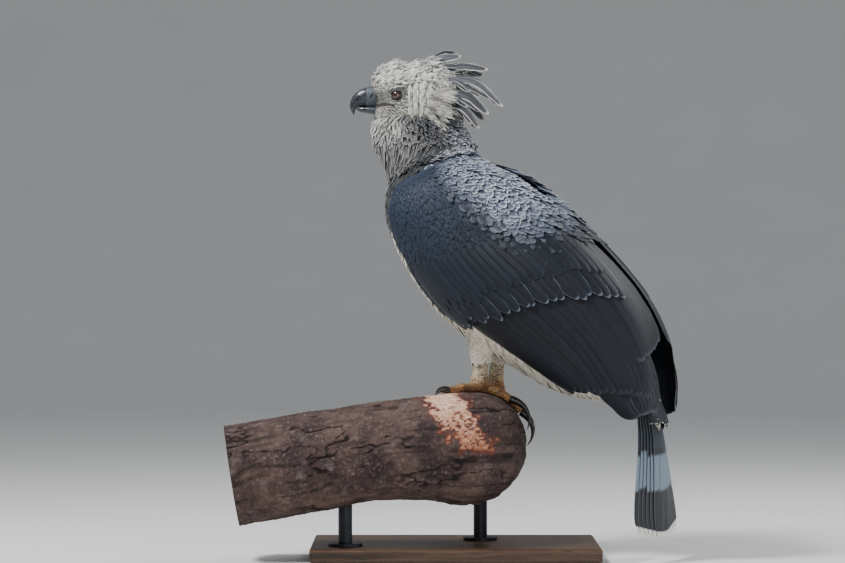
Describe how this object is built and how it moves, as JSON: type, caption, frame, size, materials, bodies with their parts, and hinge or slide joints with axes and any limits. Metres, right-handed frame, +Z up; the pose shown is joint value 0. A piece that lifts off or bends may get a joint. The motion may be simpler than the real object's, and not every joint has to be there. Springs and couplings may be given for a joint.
{
  "type": "perched eagle model",
  "caption": "Life-size harpy eagle with fanned crest and folded wings, perched on a cut length of branch held by a flat base with short rods.",
  "frame": {"origin": "centre of the flat base's underside", "axes": "+Z up; +X from the bill towards the tail in side view; +Y to the far side of that view, from the eagle's left towards its right"},
  "size_m": [0.7862, 0.4045, 0.8915],
  "materials": {
    "head_feathers": "pale grey feathers, matte",
    "body_feathers": "cream white feathers below, dark grey on the back and chest, matte",
    "thigh_feathers": "cream white feathers with thin dark bars, matte",
    "wing_feathers": "slate black feathers with pale edges, slightly glossy",
    "tail_feathers": "slate black feathers with pale grey bands, slightly glossy",
    "bill_horn": "dark slate horn, satin",
    "eye_amber": "polished reddish brown glass eye, opaque",
    "leg_scales": "yellow tan scaled skin, satin",
    "claw_horn": "near black horn, satin",
    "branch_wood": "rough grey brown bark, pale flaked bark at the bend",
    "stand_wood": "dark stained wood, satin",
    "stand_metal": "black paint, satin"
  },
  "bodies": {
    "root": {"bill_lower": "bill_horn", "bill_upper": "bill_horn", "claw_hind_left": "claw_horn", "claw_hind_right": "claw_horn", "claw_inner_left": "claw_horn", "claw_inner_right": "claw_horn", "claw_middle_left": "claw_horn", "claw_middle_right": "claw_horn", "claw_outer_left": "claw_horn", "claw_outer_right": "claw_horn", "eye_left": "eye_amber", "eye_right": "eye_amber", "foot_left": "leg_scales", "foot_right": "leg_scales", "head": "head_feathers", "neck": "head_feathers", "perch": "branch_wood", "stand_base": "stand_wood", "stand_rod_1": "stand_metal", "stand_rod_2": "stand_metal", "tail": "tail_feathers", "tarsus_left": "leg_scales", "tarsus_right": "leg_scales", "thigh_left": "thigh_feathers", "thigh_right": "thigh_feathers", "torso": "body_feathers", "wing_left": "wing_feathers", "wing_right": "wing_feathers"}
  },
  "joints": []
}
